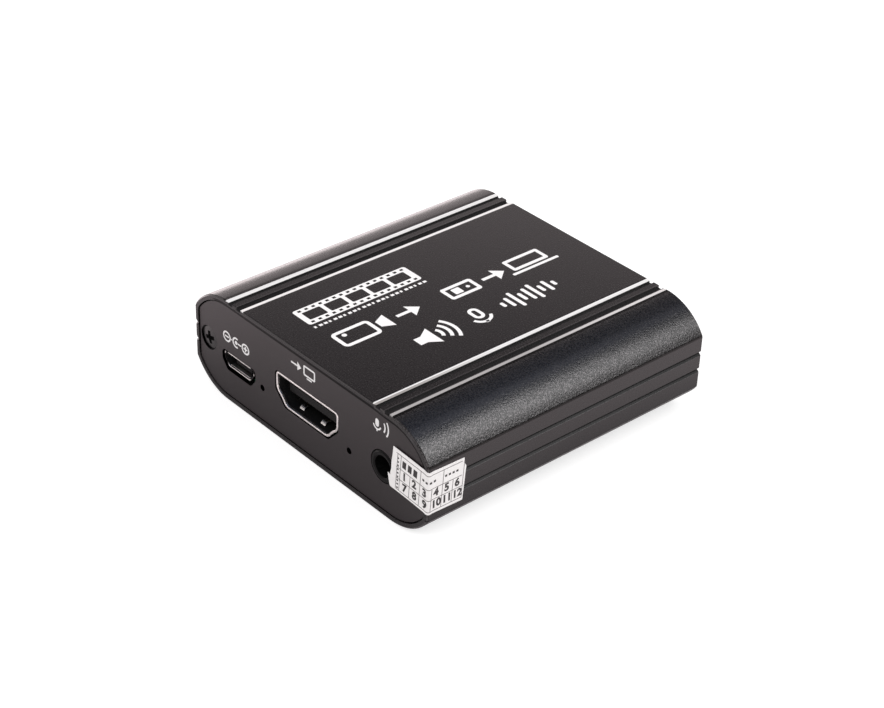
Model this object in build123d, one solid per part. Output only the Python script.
from build123d import *
import math
import os

# A video capture box: one extruded aluminium case, closed at both ends by screwed plates, round
# one circuit board that carries every socket. X runs right along the front plate, Y runs from the
# front plate to the rear plate and Z is up. The origin is the middle of the underside.
# All lengths are in millimetres.

# Case extrusion
case_width = 56.2
case_height = 18.4
case_length = 56.0
case_wall = 1.6
flat_half_width = 19.9
shoulder_drop = 4.6
shoulder_corner_radius = 0.7
side_groove_depth = 0.45
side_groove_width = 0.75
panel_half_width = 15.4
facet_width = 0.8
facet_drop = 0.12
channel_groove_width = 0.9
channel_groove_depth = 0.45
mouth_chamfer = 0.25

# End plates, which sit in a rebate milled into each mouth of the case
plate_thickness = 1.2
plate_recess = 0.2
plate_gap = 0.22
plate_corner_radius = 1.2
rim_width = 0.85
cutout_clearance = 0.15

# Screws and the ports that they bite into
screw_head_diameter = 4.2
screw_shank_diameter = 2.4
screw_length = 8.0
screw_clearance = 0.03
screw_inset = 3.4
drive_span = 2.4
drive_arm_width = 0.55
drive_depth = 0.8
port_wall = 1.0
port_slit_width = 1.0

# Circuit board and the ribs that hold its long edges
board_thickness = 1.6
board_side_clearance = 0.3
board_end_clearance = 0.3
board_slot_clearance = 0.1
board_rib_thickness = 0.8
board_rib_reach = 1.6
leg_hole_clearance = 0.12
leg_stub = 0.6
front_leg_share = 0.3
rear_leg_share = 0.85

# Video sockets, the same part at the front and at the rear
video_width = 15.0
video_height = 5.6
video_side_height = 3.2
video_base_width = 10.4
video_corner_radius = 0.6
video_metal = 0.4
video_length = 11.6
video_block_length = 4.0
video_tongue_width = 11.2
video_tongue_thickness = 1.3
video_tongue_setback = 1.2
video_tongue_raise = 0.3
video_pitch = 1.0
video_contact_width = 0.28
video_leg_width = 1.2
video_spring_width = 1.6
video_spring_spacing = 5.1
video_spring_start = 0.9
video_spring_length = 4.2
video_spring_rise = 0.6
video_spring_metal = 0.22
video_spring_gap = 0.25
upper_row_count = 10
lower_row_count = 9

# Power socket, the small one beside the left screw
power_width = 7.6
power_height = 2.5
power_side_height = 1.2
power_base_width = 5.6
power_corner_radius = 0.35
power_metal = 0.25
power_length = 5.4
power_block_length = 1.6
power_cutout_clearance = 0.5
power_cutout_drop = 0.25
power_setback = 0.35
power_tongue_width = 4.0
power_tongue_thickness = 0.6
power_tongue_setback = 0.7
power_tongue_raise = -0.35
power_pitch = 0.65
power_contact_width = 0.3
power_contact_count = 5
power_leg_width = 0.9

# Data socket at the rear
data_width = 13.2
data_height = 5.8
data_corner_radius = 0.6
data_metal = 0.35
data_length = 14.0
data_block_length = 3.6
data_tongue_width = 11.0
data_tongue_thickness = 1.8
data_tongue_setback = 1.0
data_tongue_raise = 1.0
data_contact_width = 1.0
data_contact_shares = (-0.318, -0.091, 0.091, 0.318)
data_leg_width = 2.0
data_spring_width = 2.0
data_spring_spacing = 6.4
data_spring_start = 1.2
data_spring_length = 6.0
data_spring_rise = 0.5
data_spring_metal = 0.25
data_spring_gap = 0.3
leaf_crest_share = 0.62
leaf_end_share = 0.45

# Strip contacts of all the flat sockets
contact_thickness = 0.2
contact_proud = 0.05
contact_foot = 0.9
contact_tip_setback = 0.4
contact_row_margin = 0.2
block_fit = 0.1
mouth_setback = 0.05

# Round jacks, the same part at the front and at the rear
jack_bore_diameter = 3.6
jack_bore_depth = 12.0
jack_floor = 0.3
jack_roof = 0.6
jack_side_wall = 1.3
jack_end_wall = 1.2
jack_collar_diameter = 5.2
jack_collar_extra = 0.1
jack_window_length = 1.6
jack_window_height = 1.0
jack_contact_length = 1.3
jack_contact_thickness = 0.25
jack_contact_foot = 0.6
jack_contact_retreat = 0.1
jack_contact_shares = (0.3, 0.72)

# Places of the sockets, from the middle or the nearer side of the case, and of the lamps between them
power_inset = 11.15
video_in_x = 0.0
jack_inset = 10.15
data_inset = 13.1
rear_socket_gap = 1.5
left_led_share = 0.398
right_led_share = 0.367

# Indicator lamps behind the front plate
led_width = 1.6
led_depth = 1.2
led_height = 1.1
led_lens_side = 0.7
led_lens_length = 0.3
led_hole_diameter = 1.1

# Parts on the middle of the board, placed as shares of half its width and half its length
chip_edge = 0.15
capture_chip_side = 7.0
capture_chip_height = 0.9
capture_chip_place_share = (0.08, -0.22)
splitter_chip_side = 9.0
splitter_chip_height = 0.9
splitter_chip_place_share = (-0.36, -0.06)

lead_thickness = 0.2
lead_shoulder = 0.35
lead_foot = 0.6
package_standoff = 0.1
memory_width = 3.9
memory_length = 4.9
memory_height = 1.4
memory_lead_width = 0.42
memory_lead_pitch = 1.27
memory_lead_count = 4
memory_place_share = (0.44, 0.02)
codec_width = 4.4
codec_length = 5.0
codec_height = 1.1
codec_lead_width = 0.25
codec_lead_pitch = 0.65
codec_lead_count = 5
codec_place_share = (0.5, -0.3)
regulator_width = 3.5
regulator_length = 6.5
regulator_height = 1.7
regulator_lead_width = 0.7
regulator_lead_pitch = 2.3
regulator_lead_count = 3
regulator_place_share = (-0.66, -0.5)

crystal_length = 5.0
crystal_width = 3.2
crystal_height = 1.3
crystal_base_height = 0.7
crystal_lid_inset = 0.25
crystal_corner = 0.4
crystal_place_shares = ((0.02, 0.24), (-0.54, 0.33))
inductor_side = 5.0
inductor_height = 2.8
inductor_corner = 1.0
inductor_place_share = (-0.72, -0.17)
can_diameter = 5.0
can_height = 4.6
can_base_side = 5.3
can_base_height = 0.8
can_base_corner = 1.0
can_place_shares = ((-0.74, 0.1), (0.76, 0.24))
small_part_length = 1.6
small_part_width = 0.8
ceramic_height = 0.8
resistor_height = 0.45
ceramic_place_shares = (
    (-0.12, -0.37), (0.28, -0.37), (-0.12, 0.06), (0.28, 0.08), (0.62, -0.06),
    (0.62, 0.06), (-0.36, -0.32), (-0.36, 0.19), (0.34, 0.32), (0.52, 0.32),
)
resistor_place_shares = (
    (0.02, -0.42), (0.14, -0.42), (-0.05, 0.06), (0.1, 0.08), (0.76, -0.1),
    (-0.5, -0.32), (-0.22, -0.32), (-0.24, 0.19), (0.34, 0.22), (0.46, 0.22),
)

# Paper seal that wraps the front right corner
label_thickness = 0.1
label_side_length = 6.9
label_height = 7.3
label_centre_height = 9.7
label_fall = 0.3
label_jack_margin = 0.15
label_tear_depth = 0.45
label_notch = 0.5

overrun = 1.0

# Places that follow from the sizes above
half_width = case_width / 2
half_length = case_length / 2
mid_height = case_height / 2
shoulder_radius = ((half_width - flat_half_width) ** 2 + shoulder_drop ** 2) / (2 * shoulder_drop)
plate_face = plate_recess - half_length
plate_back = plate_face + plate_thickness
board_top = mid_height - video_height / 2
board_underside = board_top - board_thickness
board_front = plate_back + board_end_clearance
board_length = -2 * board_front
screw_x = half_width - screw_inset
jack_x = half_width - jack_inset
jack_axis_height = jack_floor + jack_bore_diameter / 2
jack_height = jack_floor + jack_bore_diameter + jack_roof
jack_width = jack_bore_diameter + 2 * jack_side_wall
jack_collar_length = plate_thickness + jack_collar_extra
power_x = power_inset - half_width
data_x = half_width - data_inset
video_out_x = data_x - data_width / 2 - rear_socket_gap - video_width / 2


def between(left, right, share):
    """The place at a share of the way from left to right."""
    return left + share * (right - left)


left_led_x = between(power_x + power_width / 2, video_in_x - video_width / 2, left_led_share)
right_led_x = between(video_in_x + video_width / 2, jack_x - jack_width / 2, right_led_share)


def cavity_half_width(height):
    """Half the width of the room inside the case at a height below the middle."""
    side = half_width - case_wall
    bend = shoulder_radius - case_wall
    reach = flat_half_width + math.sqrt(bend ** 2 - min(bend, shoulder_radius - height) ** 2)
    return min(side, reach)


board_width = 2 * (cavity_half_width(board_underside) - board_side_clearance)


def prism(face, front, back):
    """Extrude a face drawn in width and height from depth front to depth back."""
    return extrude(Plane.XZ.offset(-front) * face, amount=back - front, dir=(0, 1, 0))


def across(face, x, width):
    """Extrude a face drawn in depth and height by a width centred on x."""
    return extrude(Plane.YZ.offset(x) * face, amount=width / 2, both=True)


def block(width, depth, height):
    """A box that stands on its own base."""
    return Box(width, depth, height, align=(Align.CENTER, Align.CENTER, Align.MIN))


def save(shapes, name):
    """Write one sub-part, given as one shape or as a list of separate shapes."""
    items = shapes if isinstance(shapes, list) else [shapes]
    solids = [solid for item in items for solid in item.solids()]
    export_step(solids[0] if len(solids) == 1 else Compound(children=solids), f"parts/{name}.step")


# Case
def case_outline(inset, corner_radius):
    """Plain section of the case, pulled in by inset all round."""
    side = half_width - inset
    top = mid_height - inset
    bend = shoulder_radius - inset
    corner = mid_height - shoulder_radius + math.sqrt(bend ** 2 - (side - flat_half_width) ** 2)
    edges = []
    for sign in (-1, 1):
        edges.append(Line((-flat_half_width, sign * top), (flat_half_width, sign * top)))
        edges.append(Line((sign * side, -corner), (sign * side, corner)))
        for level in (-1, 1):
            start = (sign * flat_half_width, level * top)
            edges.append(TangentArc(start, (sign * side, level * corner), tangent=(sign, 0)))
    face = make_face(edges)
    outer_corners = face.vertices().filter_by(lambda v: abs(v.X) > (flat_half_width + side) / 2)
    return Pos(0, mid_height) * fillet(outer_corners, corner_radius)


def side_grooves():
    """V grooves that split each side into three equal bands."""
    band_edge = (mid_height - shoulder_drop) / 3
    cuts = []
    for sign in (-1, 1):
        for level in (-1, 1):
            middle = mid_height + level * band_edge
            cuts.append(Polygon(
                (sign * (half_width + overrun), middle - side_groove_width / 2),
                (sign * half_width, middle - side_groove_width / 2),
                (sign * (half_width - side_groove_depth), middle),
                (sign * half_width, middle + side_groove_width / 2),
                (sign * (half_width + overrun), middle + side_groove_width / 2),
                align=None))
    return cuts


def channel_cuts():
    """Two grooves and two bright sloping facets, beside the flat panel on both sides of the top."""
    centre = (flat_half_width + panel_half_width) / 2
    channel_edge = (flat_half_width - panel_half_width) / 2
    groove_start = channel_edge - facet_width
    groove_end = groove_start - channel_groove_width
    cuts = []
    for side in (-1, 1):
        for sign in (-1, 1):
            cuts.append(Polygon(
                (side * centre + sign * channel_edge, case_height + overrun),
                (side * centre + sign * channel_edge, case_height),
                (side * centre + sign * groove_start, case_height - facet_drop),
                (side * centre + sign * groove_start, case_height - channel_groove_depth),
                (side * centre + sign * groove_end, case_height - channel_groove_depth),
                (side * centre + sign * groove_end, case_height + overrun),
                align=None))
    return cuts


def inner_ribs():
    """Screw ports at mid height, with board ribs below them, before their bores are cut."""
    port_radius = screw_shank_diameter / 2 + screw_clearance + port_wall
    rib_width = board_rib_reach + case_wall
    upper_rib = board_top + board_slot_clearance + board_rib_thickness / 2
    lower_rib = board_underside - board_slot_clearance - board_rib_thickness / 2
    rib_x = half_width - case_wall - board_rib_reach + rib_width / 2
    shapes = []
    for sign in (-1, 1):
        shapes.append(Pos(sign * screw_x, mid_height) * Circle(port_radius))
        for height in (upper_rib, lower_rib):
            shapes.append(Pos(sign * rib_x, height) * Rectangle(rib_width, board_rib_thickness))
    return shapes


def port_cuts():
    """The round bore of each screw port and the slit that opens it to the inside."""
    bore_radius = screw_shank_diameter / 2 + screw_clearance
    slit_length = bore_radius + port_wall + overrun
    cuts = []
    for sign in (-1, 1):
        cuts.append(Pos(sign * screw_x, mid_height) * Circle(bore_radius))
        slit_x = sign * (screw_x - slit_length / 2)
        cuts.append(Pos(slit_x, mid_height) * Rectangle(slit_length, port_slit_width))
    return cuts


def make_case():
    """One extrusion, with both mouths milled out to seat the plates."""
    outer = case_outline(0, shoulder_corner_radius) - side_grooves() - channel_cuts()
    inside_wall = case_outline(case_wall / 2, shoulder_corner_radius)
    ribs = [shape & inside_wall for shape in inner_ribs()]
    section = outer - case_outline(case_wall, shoulder_corner_radius) + ribs - port_cuts()
    case = prism(section, -half_length, half_length)
    mouth = case_outline(rim_width, plate_corner_radius + plate_gap)
    case -= prism(mouth, -half_length - overrun, plate_back)
    case -= prism(mouth, -plate_back, half_length + overrun)
    for end in (0, -1):
        rim = case.faces().sort_by(Axis.Y)[end]
        case = chamfer(rim.outer_wire().edges(), mouth_chamfer)
    return case


# Plates and screws
def screw_profile(grow, length):
    """Outer points of a countersunk screw's half section, with the face of its head at zero depth."""
    head = screw_head_diameter / 2 + grow
    shank = screw_shank_diameter / 2 + grow
    return [(head, 0), (shank, head - shank), (shank, length), (0, length)]


def make_screw():
    """Countersunk screw, pointing along +Y, with a cross recess in its head."""
    points = [(0, 0)] + screw_profile(0, screw_length)
    screw = revolve(make_face(Polyline(*points, close=True)), axis=Axis.Y)
    for width, height in ((drive_span, drive_arm_width), (drive_arm_width, drive_span)):
        screw -= prism(Rectangle(width, height), -overrun, drive_depth)
    return screw


def screw_hole():
    """Countersunk hole for a screw, a little larger than the screw all round."""
    profile = screw_profile(screw_clearance, plate_thickness + overrun)
    points = [(0, -overrun), (profile[0][0], -overrun)] + profile
    return revolve(make_face(Polyline(*points, close=True)), axis=Axis.Y)


def make_plate(cutouts):
    """Plate in the front mouth, with the given cut-outs and two countersunk holes."""
    plate = prism(case_outline(rim_width + plate_gap, plate_corner_radius), plate_face, plate_back)
    for cutout in cutouts:
        plate -= prism(cutout, plate_face - overrun, plate_back + overrun)
    for sign in (-1, 1):
        plate -= Pos(sign * screw_x, plate_face, mid_height) * screw_hole()
    return plate


def make_screws():
    """The two screws of the front plate."""
    return [Pos(sign * screw_x, plate_face, mid_height) * make_screw() for sign in (-1, 1)]


# Flat sockets. Each is built with its mouth at zero depth and the board's top at zero height.
def sloped_outline(width, base_width, height, side_height):
    """Sharp outline of a socket whose lower corners slope in."""
    points = [(-width / 2, height), (width / 2, height), (width / 2, height - side_height),
              (base_width / 2, 0), (-base_width / 2, 0), (-width / 2, height - side_height)]
    return make_face(Polyline(*points, close=True))


def video_outline():
    return sloped_outline(video_width, video_base_width, video_height, video_side_height)


def power_outline():
    return sloped_outline(power_width, power_base_width, power_height, power_side_height)


def data_outline():
    return Pos(0, data_height / 2) * Rectangle(data_width, data_height)


def rounded(outline, corner_radius):
    return fillet(outline.vertices(), corner_radius)


def metal_tube(outline, corner_radius, metal, length):
    """Folded sheet that follows an outline, open at both ends, round outside and sharp inside."""
    inner = offset(outline, amount=-metal)
    return prism(rounded(outline, corner_radius), 0, length) - prism(inner, -overrun, length + overrun)


def shell_legs(width, metal, leg_width, attach_height, length, grow):
    """Four tabs that go down from the side walls through the board."""
    bottom = -board_thickness - leg_stub
    legs = []
    for sign in (-1, 1):
        for depth in (length * front_leg_share, length * rear_leg_share):
            leg = block(metal + 2 * grow, leg_width + 2 * grow, attach_height - bottom)
            legs.append(Pos(sign * (width - metal) / 2, depth, bottom) * leg)
    return legs


def leaf_spring(width, start, length, rise, wall, metal, x):
    """Leaf cut from a lower wall and bent up into the mouth, crowned in the middle."""
    crest = start + length * leaf_crest_share
    end = start + length
    top = [(start, wall), (crest, wall + rise), (end, wall + rise * leaf_end_share)]
    under = [(depth, height - metal) for depth, height in reversed(top)]
    return across(make_face(Polyline(*top, *under, close=True)), x, width)


def add_springs(shell, height, width, spacing, start, length, rise, wall, metal, gap):
    """Cut windows in the lower and upper walls and bend a leaf into each."""
    middle = Plane.XY.offset(height / 2)
    for sign in (-1, 1):
        x = sign * spacing / 2
        window = block(width + 2 * gap, length + gap, wall + overrun)
        window = Pos(x, start + length / 2 + 2 * gap, -overrun) * window
        shell -= [window, mirror(window, about=middle)]
        leaf = leaf_spring(width, start, length, rise, wall, metal, x)
        shell += [leaf, mirror(leaf, about=middle)]
    return shell


def strip_contact(x, width, level, tip, back):
    """Strip along the tongue, through the block, down behind it and out to a foot on the board."""
    points = [(tip, level), (tip, level + contact_thickness),
              (back + contact_thickness, level + contact_thickness),
              (back + contact_thickness, contact_thickness), (back + contact_foot, contact_thickness),
              (back + contact_foot, 0), (back, 0), (back, level)]
    return across(make_face(Polyline(*points, close=True)), x, width)


def tongue_block(outline, metal, length, block_length, width, thickness, setback, middle):
    """Moulded block at the back of a shell, with the tongue that reaches forward from it."""
    body = prism(offset(outline, amount=-metal - block_fit), length - block_length, length)
    tongue = Pos(0, middle) * Rectangle(width, thickness)
    return body + prism(tongue, setback, length - block_length / 2)


def make_video_shell():
    shell = metal_tube(video_outline(), video_corner_radius, video_metal, video_length)
    attach = video_height - video_side_height / 2
    shell += shell_legs(video_width, video_metal, video_leg_width, attach, video_length, 0)
    return add_springs(shell, video_height, video_spring_width, video_spring_spacing, video_spring_start,
                       video_spring_length, video_spring_rise, video_metal, video_spring_metal,
                       video_spring_gap)


def video_rows():
    """How many strips lie above and below the tongue, and at which heights."""
    middle = video_height / 2 + video_tongue_raise
    upper = middle + video_tongue_thickness / 2 - contact_thickness + contact_proud
    lower = middle - video_tongue_thickness / 2 - contact_proud
    return (upper_row_count, upper), (lower_row_count, lower)


def make_video_contacts():
    """Ten strips on top of the tongue and nine between them on its underside."""
    tip = video_tongue_setback + contact_tip_setback
    contacts = []
    for count, level in video_rows():
        for index in range(count):
            x = (index - (count - 1) / 2) * video_pitch
            contacts.append(strip_contact(x, video_contact_width, level, tip, video_length))
    return contacts


def make_video_insulator():
    """Block and tongue with one long recess for each row of strips."""
    middle = video_height / 2 + video_tongue_raise
    insulator = tongue_block(video_outline(), video_metal, video_length, video_block_length,
                             video_tongue_width, video_tongue_thickness, video_tongue_setback, middle)
    tip = video_tongue_setback + contact_tip_setback
    for count, level in video_rows():
        row_width = (count - 1) * video_pitch + video_contact_width + contact_row_margin
        row = Pos(0, level + contact_thickness / 2) * Rectangle(row_width, contact_thickness)
        insulator -= prism(row, tip, video_length + overrun)
    return insulator


def make_power_shell():
    shell = metal_tube(power_outline(), power_corner_radius, power_metal, power_length)
    attach = power_height - power_side_height / 2
    return shell + shell_legs(power_width, power_metal, power_leg_width, attach, power_length, 0)


def make_power_contacts():
    middle = power_height / 2 + power_tongue_raise
    level = middle + power_tongue_thickness / 2 - contact_thickness + contact_proud
    tip = power_tongue_setback + contact_tip_setback
    contacts = []
    for index in range(power_contact_count):
        x = (index - (power_contact_count - 1) / 2) * power_pitch
        contacts.append(strip_contact(x, power_contact_width, level, tip, power_length))
    return contacts


def make_power_insulator(contacts):
    middle = power_height / 2 + power_tongue_raise
    insulator = tongue_block(power_outline(), power_metal, power_length, power_block_length,
                             power_tongue_width, power_tongue_thickness, power_tongue_setback, middle)
    return insulator - contacts


def make_data_shell():
    shell = metal_tube(data_outline(), data_corner_radius, data_metal, data_length)
    shell += shell_legs(data_width, data_metal, data_leg_width, data_height / 2, data_length, 0)
    return add_springs(shell, data_height, data_spring_width, data_spring_spacing, data_spring_start,
                       data_spring_length, data_spring_rise, data_metal, data_spring_metal,
                       data_spring_gap)


def make_data_contacts():
    middle = data_height / 2 + data_tongue_raise
    level = middle - data_tongue_thickness / 2 - contact_proud
    tip = data_tongue_setback + contact_tip_setback
    return [strip_contact(share * data_tongue_width, data_contact_width, level, tip, data_length)
            for share in data_contact_shares]


def make_data_insulator(contacts):
    middle = data_height / 2 + data_tongue_raise
    insulator = tongue_block(data_outline(), data_metal, data_length, data_block_length,
                             data_tongue_width, data_tongue_thickness, data_tongue_setback, middle)
    return insulator - contacts


# Round jacks, built like the flat sockets
def jack_window_depths():
    return [between(jack_collar_length, jack_bore_depth, share) for share in jack_contact_shares]


def make_jack_body():
    """Moulded block with a round collar, a blind bore and side windows for its contacts."""
    length = jack_bore_depth + jack_end_wall - jack_collar_length
    body = Pos(0, jack_collar_length + length / 2, 0) * block(jack_width, length, jack_height)
    axis = Pos(0, jack_axis_height)
    body += prism(axis * Circle(jack_collar_diameter / 2), 0, jack_collar_length)
    body -= prism(axis * Circle(jack_bore_diameter / 2), -overrun, jack_bore_depth)
    window_base = jack_axis_height - jack_window_height / 2
    window = block(jack_width + 2 * overrun, jack_window_length, jack_window_height)
    for depth in jack_window_depths():
        body -= Pos(0, depth, window_base) * window
    return body


def make_jack_contacts():
    """Strips that pass through the side windows and stand on the board outside the body."""
    inner = jack_bore_diameter / 2 + jack_contact_retreat
    outer = jack_width / 2
    half = jack_contact_thickness / 2
    contacts = []
    for sign in (-1, 1):
        points = [(inner, jack_axis_height - half), (inner, jack_axis_height + half),
                  (outer + jack_contact_thickness, jack_axis_height + half),
                  (outer + jack_contact_thickness, jack_contact_thickness),
                  (outer + jack_contact_foot, jack_contact_thickness),
                  (outer + jack_contact_foot, 0), (outer, 0), (outer, jack_axis_height - half)]
        face = make_face(Polyline(*[(sign * x, z) for x, z in points], close=True))
        for depth in jack_window_depths():
            contacts.append(prism(face, depth - jack_contact_length / 2, depth + jack_contact_length / 2))
    return contacts


# Placing of sockets
def at_front(x, setback):
    return Location((x, plate_face + setback, board_top))


def at_rear(x, setback):
    return Location((x, -plate_face - setback, board_top), (0, 0, 180))


def placed(location, shapes):
    return [location * shape for shape in shapes]


def socket_cutout(outline, corner_radius, x, grow):
    """Cut-out of a plate for a socket, as seen from outside that plate."""
    return Pos(x, board_top) * offset(rounded(outline, corner_radius), amount=grow)


def jack_cutout(x):
    return Pos(x, board_top + jack_axis_height) * Circle(jack_collar_diameter / 2 + cutout_clearance)


def led_cutout(x):
    return Pos(x, board_top + led_height / 2) * Circle(led_hole_diameter / 2)


def front_cutouts():
    power_cutout = socket_cutout(power_outline(), power_corner_radius, power_x, power_cutout_clearance)
    return [Pos(0, -power_cutout_drop) * power_cutout,
            socket_cutout(video_outline(), video_corner_radius, video_in_x, cutout_clearance),
            jack_cutout(jack_x), led_cutout(left_led_x), led_cutout(right_led_x)]


def rear_cutouts():
    """Cut-outs of the rear plate before it is turned round to face backwards."""
    return [socket_cutout(data_outline(), data_corner_radius, -data_x, cutout_clearance),
            socket_cutout(video_outline(), video_corner_radius, -video_out_x, cutout_clearance),
            jack_cutout(jack_x)]


# Board and what is soldered to it
def make_board():
    """Board between the plates, pierced for the legs of the socket shells."""
    board = Pos(0, 0, board_underside) * block(board_width, board_length, board_thickness)
    grow = leg_hole_clearance
    video_legs = shell_legs(video_width, video_metal, video_leg_width, overrun, video_length, grow)
    power_legs = shell_legs(power_width, power_metal, power_leg_width, overrun, power_length, grow)
    data_legs = shell_legs(data_width, data_metal, data_leg_width, overrun, data_length, grow)
    board -= placed(at_front(video_in_x, mouth_setback), video_legs)
    board -= placed(at_front(power_x, power_setback), power_legs)
    board -= placed(at_rear(video_out_x, mouth_setback), video_legs)
    board -= placed(at_rear(data_x, mouth_setback), data_legs)
    return board


def on_board(place_share, shape):
    """Stand a part on the board at shares of half the board's width and length."""
    x = place_share[0] * board_width / 2
    y = place_share[1] * board_length / 2
    return Pos(x, y, board_top) * shape


def make_package(width, length, height):
    """Moulded chip package with softened top edges."""
    package = block(width, length, height)
    return chamfer(package.faces().sort_by(Axis.Z)[-1].edges(), chip_edge)


def package_leads(width, height, lead_width, pitch, count):
    """Leads on both long sides of a package, stepped down to feet on the board."""
    face_x = width / 2
    level = package_standoff + height / 2
    drop_x = face_x + lead_shoulder
    points = [(face_x, level), (face_x, level + lead_thickness),
              (drop_x + lead_thickness, level + lead_thickness), (drop_x + lead_thickness, lead_thickness),
              (drop_x + lead_foot, lead_thickness), (drop_x + lead_foot, 0), (drop_x, 0), (drop_x, level)]
    leads = []
    for sign in (-1, 1):
        face = make_face(Polyline(*[(sign * x, z) for x, z in points], close=True))
        for index in range(count):
            y = (index - (count - 1) / 2) * pitch
            leads.append(prism(face, y - lead_width / 2, y + lead_width / 2))
    return leads


def make_led():
    """Side-view lamp whose lens points at its hole in the front plate."""
    lamp = Pos(0, led_depth / 2, 0) * block(led_width, led_depth, led_height)
    lens = Pos(0, led_height / 2) * Rectangle(led_lens_side, led_lens_side)
    return lamp + prism(lens, -led_lens_length, led_depth / 2)


def make_crystal():
    """Flat welded package with a metal lid set in from its edges and cut corners."""
    body = block(crystal_length, crystal_width, crystal_base_height)
    body = chamfer(body.edges().filter_by(Axis.Z), crystal_corner)
    lid_length = crystal_length - 2 * crystal_lid_inset
    lid_width = crystal_width - 2 * crystal_lid_inset
    lid = block(lid_length, lid_width, crystal_height)
    return body + chamfer(lid.edges().filter_by(Axis.Z), crystal_corner)


def make_inductor():
    """Ferrite block with cut corners."""
    body = block(inductor_side, inductor_side, inductor_height)
    return chamfer(body.edges().filter_by(Axis.Z), inductor_corner)


def make_can():
    """Drawn aluminium can, standing on its base."""
    return Pos(0, 0, can_base_height) * extrude(Circle(can_diameter / 2), amount=can_height)


def make_can_base():
    """Plastic foot of a can, with two corners cut to show its polarity."""
    base = block(can_base_side, can_base_side, can_base_height)
    cut_corners = base.edges().filter_by(Axis.Z).filter_by(lambda edge: edge.center().X > 0)
    return chamfer(cut_corners, can_base_corner)


# Seal
def make_label():
    """Paper that wraps the front right corner a little downhill, with its left edge torn beside the jack."""
    left = jack_x + jack_bore_diameter / 2 + label_jack_margin
    corner_top = label_centre_height + label_height / 2
    corner_bottom = label_centre_height - label_height / 2
    left_middle = label_centre_height + label_fall
    left_top = corner_top + label_fall
    left_bottom = corner_bottom + label_fall
    end_top = corner_top - label_fall
    face_y = -half_length
    bend_x = half_width - mouth_chamfer
    bend_y = face_y + mouth_chamfer
    side_end = face_y + label_side_length
    front = Polygon(
        (left + label_tear_depth, left_top), (bend_x, corner_top), (bend_x, corner_bottom),
        (left, left_bottom), (left + label_tear_depth / 4, left_bottom + label_height / 4),
        (left, left_middle - label_notch), (left + label_tear_depth / 2, left_middle),
        (left + label_tear_depth / 2, left_top - label_height / 4), align=None)
    side = Polygon(
        (bend_y, corner_top), (side_end - label_notch, end_top),
        (side_end - label_notch, end_top - label_notch), (side_end, end_top - label_notch),
        (side_end - label_notch / 2, corner_bottom - label_fall), (bend_y, corner_bottom), align=None)
    centre = Pos(bend_x, bend_y)
    ring = centre * (Circle(mouth_chamfer + label_thickness) - Circle(mouth_chamfer))
    quarter_size = mouth_chamfer + 2 * label_thickness
    quarter = centre * Pos(quarter_size / 2, -quarter_size / 2) * Rectangle(quarter_size, quarter_size)
    bend = Pos(0, 0, corner_bottom) * extrude(ring & quarter, amount=corner_top - corner_bottom)
    front_flap = prism(front, face_y - label_thickness, face_y)
    side_flap = extrude(Plane.YZ.offset(half_width) * side, amount=label_thickness, dir=(1, 0, 0))
    return front_flap + bend + side_flap


def write_shell():
    """Case, plates, screws and seal."""
    turn = Rot(0, 0, 180)
    save(make_case(), "extruded_case")
    save(make_plate(front_cutouts()), "front_plate")
    save(turn * make_plate(rear_cutouts()), "rear_plate")
    save(make_screws(), "front_plate_screws")
    save(placed(turn, make_screws()), "rear_plate_screws")
    save(make_label(), "seal_label")


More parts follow.
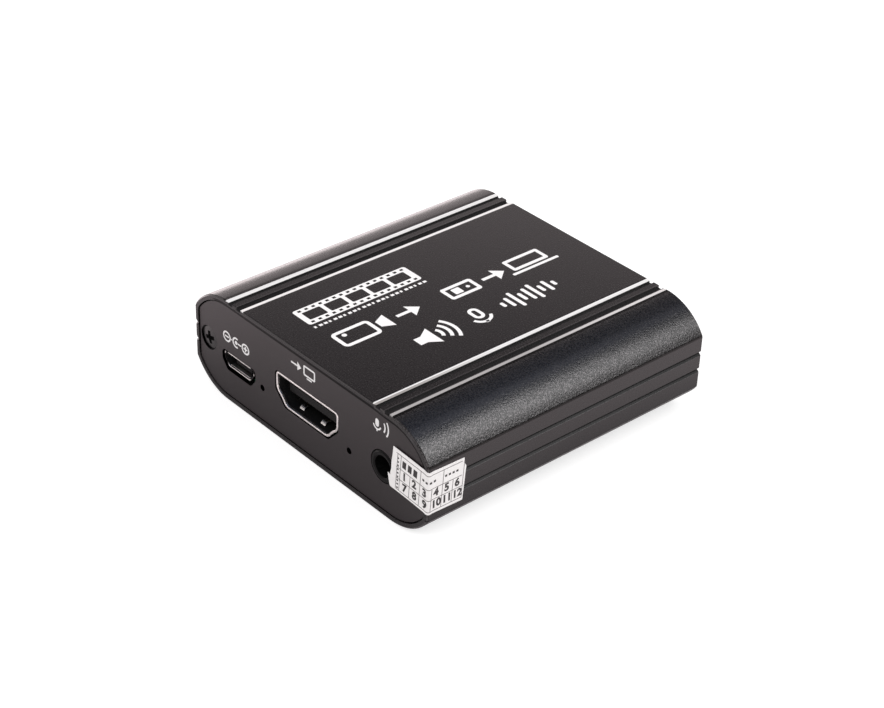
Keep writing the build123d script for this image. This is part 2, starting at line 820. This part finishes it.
def write_sockets():
    """Every socket, each as its shell or body, its moulding and its contacts."""
    video_shell = make_video_shell()
    video_contacts = make_video_contacts()
    video_insulator = make_video_insulator()
    video_in_place = at_front(video_in_x, mouth_setback)
    video_out_place = at_rear(video_out_x, mouth_setback)
    for name, place in (("video_in", video_in_place), ("video_out", video_out_place)):
        save(place * video_shell, f"{name}_shell")
        save(place * video_insulator, f"{name}_insulator")
        save(placed(place, video_contacts), f"{name}_contacts")
    power_contacts = make_power_contacts()
    power_place = at_front(power_x, power_setback)
    save(power_place * make_power_shell(), "power_socket_shell")
    save(power_place * make_power_insulator(power_contacts), "power_socket_insulator")
    save(placed(power_place, power_contacts), "power_socket_contacts")
    data_contacts = make_data_contacts()
    data_place = at_rear(data_x, mouth_setback)
    save(data_place * make_data_shell(), "data_socket_shell")
    save(data_place * make_data_insulator(data_contacts), "data_socket_insulator")
    save(placed(data_place, data_contacts), "data_socket_contacts")
    for name, place in (("mic_jack", at_front(jack_x, 0)), ("audio_jack", at_rear(-jack_x, 0))):
        save(place * make_jack_body(), f"{name}_body")
        save(placed(place, make_jack_contacts()), f"{name}_contacts")


def write_board():
    """The board and the parts soldered to the middle of it."""
    save(make_board(), "circuit_board")
    lamp = make_led()
    for name, x in (("power_led", left_led_x), ("signal_led", right_led_x)):
        save(Pos(x, board_front, board_top) * lamp, name)
    capture = make_package(capture_chip_side, capture_chip_side, capture_chip_height)
    save(on_board(capture_chip_place_share, capture), "capture_chip")
    splitter = make_package(splitter_chip_side, splitter_chip_side, splitter_chip_height)
    save(on_board(splitter_chip_place_share, splitter), "splitter_chip")
    packages = (
        ("memory_chip", memory_place_share, memory_width, memory_length, memory_height,
         memory_lead_width, memory_lead_pitch, memory_lead_count),
        ("audio_chip", codec_place_share, codec_width, codec_length, codec_height,
         codec_lead_width, codec_lead_pitch, codec_lead_count),
        ("regulator", regulator_place_share, regulator_width, regulator_length, regulator_height,
         regulator_lead_width, regulator_lead_pitch, regulator_lead_count),
    )
    for name, place, width, length, height, lead_width, pitch, count in packages:
        body = Pos(0, 0, package_standoff) * make_package(width, length, height)
        leads = package_leads(width, height, lead_width, pitch, count)
        save(on_board(place, body), name)
        save([on_board(place, lead) for lead in leads], f"{name}_leads")
    save([on_board(place, make_crystal()) for place in crystal_place_shares], "crystals")
    save(on_board(inductor_place_share, make_inductor()), "power_inductor")
    save([on_board(place, make_can()) for place in can_place_shares], "capacitor_cans")
    save([on_board(place, make_can_base()) for place in can_place_shares], "capacitor_bases")
    ceramic = block(small_part_width, small_part_length, ceramic_height)
    save([on_board(place, ceramic) for place in ceramic_place_shares], "ceramic_capacitors")
    resistor = block(small_part_width, small_part_length, resistor_height)
    save([on_board(place, resistor) for place in resistor_place_shares], "resistors")


os.makedirs("parts", exist_ok=True)
write_shell()
write_sockets()
write_board()
